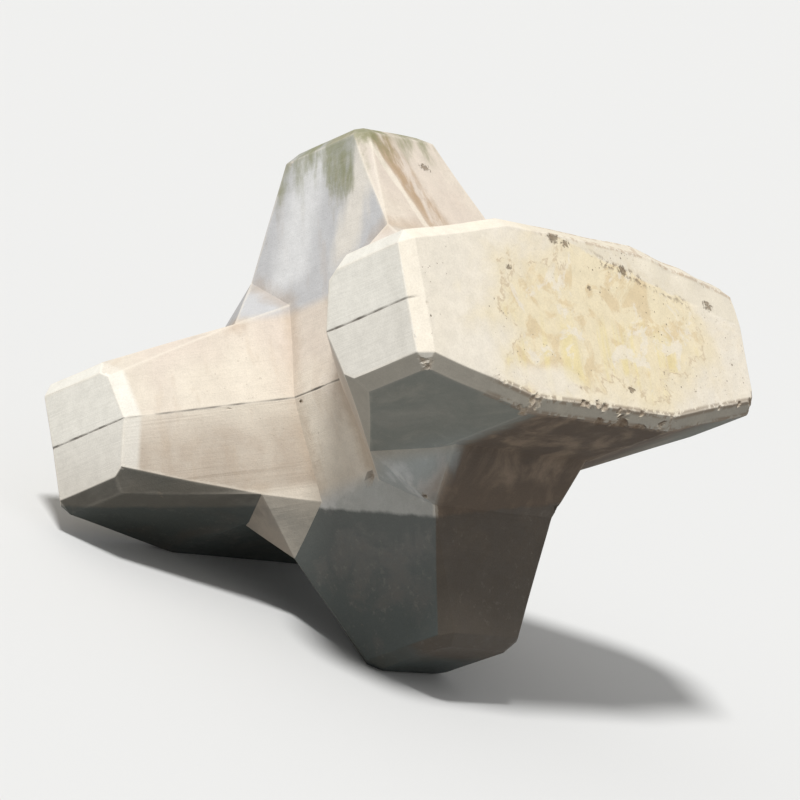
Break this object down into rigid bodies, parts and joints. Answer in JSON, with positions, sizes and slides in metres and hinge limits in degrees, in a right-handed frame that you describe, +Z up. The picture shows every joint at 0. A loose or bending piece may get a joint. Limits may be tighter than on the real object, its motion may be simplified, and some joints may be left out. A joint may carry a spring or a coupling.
{
  "type": "breakwater armour unit",
  "caption": "One-piece cast concrete breakwater armour unit with parallel boat-shaped anvils, tapered legs, V notches and a mould seam, lying tipped as placed on a slope.",
  "frame": {"origin": "on the floor, under the centre of the unit's bounding box", "axes": "+X along the length of both anvils, +Y towards the anvil that the unit rests on, +Z up from the level floor, with the line through both anvils and the line of the legs each leaning about 45 degrees"},
  "size_m": [2.13, 2.0802, 1.9655],
  "materials": {
    "concrete": "weathered cast concrete, pale cream grey, fine pits, faint form lines and tidal stains"
  },
  "bodies": {
    "root": {"armour_unit": "concrete"}
  },
  "joints": []
}
